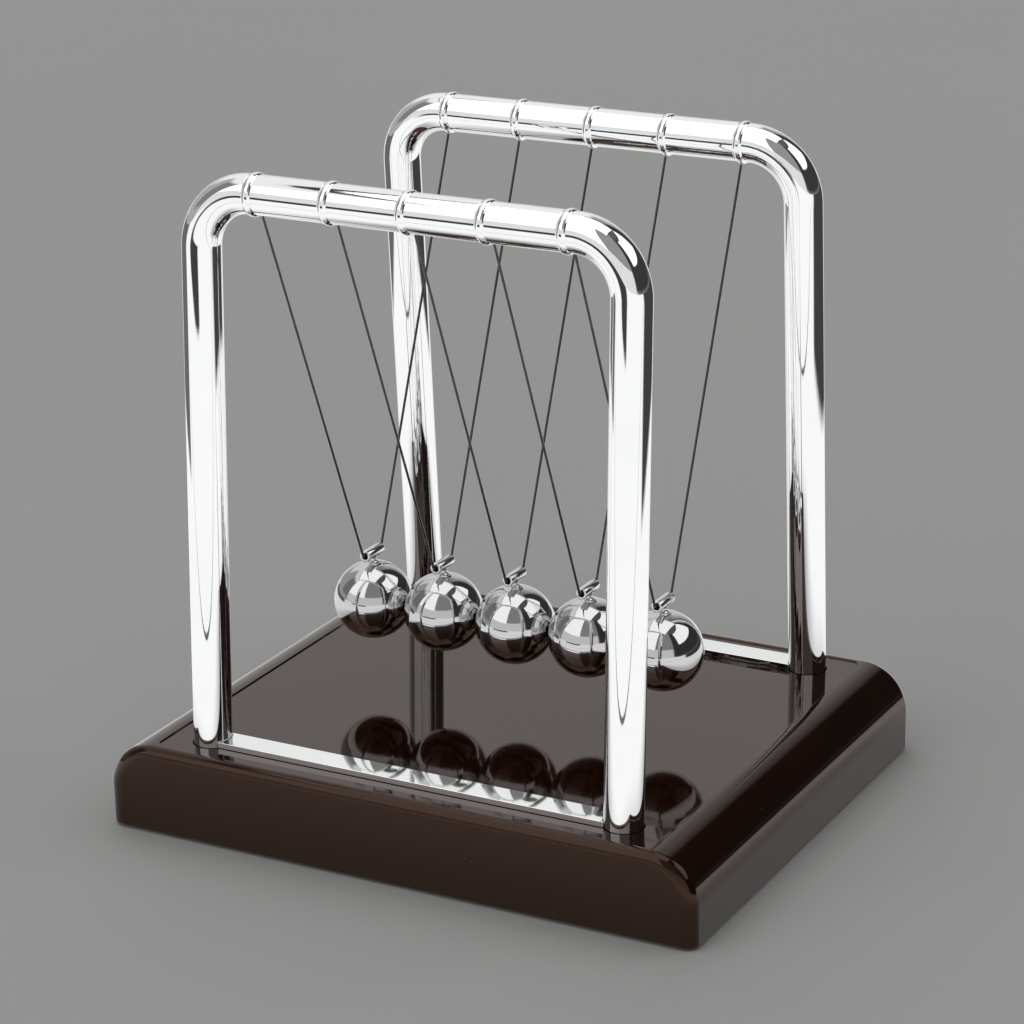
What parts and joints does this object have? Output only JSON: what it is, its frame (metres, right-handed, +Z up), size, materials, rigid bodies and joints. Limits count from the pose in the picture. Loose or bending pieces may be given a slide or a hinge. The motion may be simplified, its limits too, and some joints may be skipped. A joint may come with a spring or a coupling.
{
  "type": "newtons cradle",
  "caption": "Desk pendulum toy: rounded glossy base, two chromed tube hoops and a row of steel balls hung on V-shaped strings.",
  "frame": {"origin": "centre of the footprint, on the surface the cradle stands on", "axes": "+X along the two bars and the row of balls, -Y is the front, +Z is up"},
  "size_m": [0.1752, 0.143, 0.1815],
  "materials": {
    "base_gloss_plastic": "high gloss",
    "plate_plastic": "fine matt",
    "pad_rubber": "soft matt",
    "screw_steel": "zinc plated",
    "hoop_chrome": "mirror plated",
    "rail_chrome": "mirror plated",
    "plug_plastic": "moulded",
    "string_nylon": "clear monofilament",
    "ball_steel": "mirror polished",
    "bail_steel": "bright drawn tube"
  },
  "bodies": {
    "stand": {"base_shell": "base_gloss_plastic", "base_plate": "plate_plastic", "foot_pad_front_left": "pad_rubber", "foot_pad_front_right": "pad_rubber", "foot_pad_rear_left": "pad_rubber", "foot_pad_rear_right": "pad_rubber", "plate_screw_front_left": "screw_steel", "plate_screw_front_right": "screw_steel", "plate_screw_rear_left": "screw_steel", "plate_screw_rear_right": "screw_steel", "front_hoop": "hoop_chrome", "rear_hoop": "hoop_chrome", "front_rail": "rail_chrome", "rear_rail": "rail_chrome", "leg_plug_front_left": "plug_plastic", "leg_plug_front_right": "plug_plastic", "leg_plug_rear_left": "plug_plastic", "leg_plug_rear_right": "plug_plastic", "leg_screw_front_left": "screw_steel", "leg_screw_front_right": "screw_steel", "leg_screw_rear_left": "screw_steel", "leg_screw_rear_right": "screw_steel", "knot_front_1": "string_nylon", "knot_front_2": "string_nylon", "knot_front_3": "string_nylon", "knot_front_4": "string_nylon", "knot_front_5": "string_nylon", "knot_rear_1": "string_nylon", "knot_rear_2": "string_nylon", "knot_rear_3": "string_nylon", "knot_rear_4": "string_nylon", "knot_rear_5": "string_nylon"},
    "pendulum_1": {"ball_1": "ball_steel", "bail_1": "bail_steel", "string_1": "string_nylon"},
    "pendulum_2": {"ball_2": "ball_steel", "bail_2": "bail_steel", "string_2": "string_nylon"},
    "pendulum_3": {"ball_3": "ball_steel", "bail_3": "bail_steel", "string_3": "string_nylon"},
    "pendulum_4": {"ball_4": "ball_steel", "bail_4": "bail_steel", "string_4": "string_nylon"},
    "pendulum_5": {"ball_5": "ball_steel", "bail_5": "bail_steel", "string_5": "string_nylon"}
  },
  "joints": [
    {"name": "ball_1_swing", "type": "hinge", "parent": "stand", "child": "pendulum_1", "pos_m": [-0.0448, 0, 0.17019], "axis": [0, 1, 0], "range_deg": [0, 60]},
    {"name": "ball_2_swing", "type": "hinge", "parent": "stand", "child": "pendulum_2", "pos_m": [-0.0224, 0, 0.17019], "axis": [0, -1, 0], "range_deg": [-0.13, 0.13]},
    {"name": "ball_3_swing", "type": "hinge", "parent": "stand", "child": "pendulum_3", "pos_m": [0, 0, 0.17019], "axis": [0, -1, 0], "range_deg": [-0.13, 0.13]},
    {"name": "ball_4_swing", "type": "hinge", "parent": "stand", "child": "pendulum_4", "pos_m": [0.0224, 0, 0.17019], "axis": [0, -1, 0], "range_deg": [-0.13, 0.13]},
    {"name": "ball_5_swing", "type": "hinge", "parent": "stand", "child": "pendulum_5", "pos_m": [0.0448, 0, 0.17019], "axis": [0, -1, 0], "range_deg": [0, 60]}
  ]
}
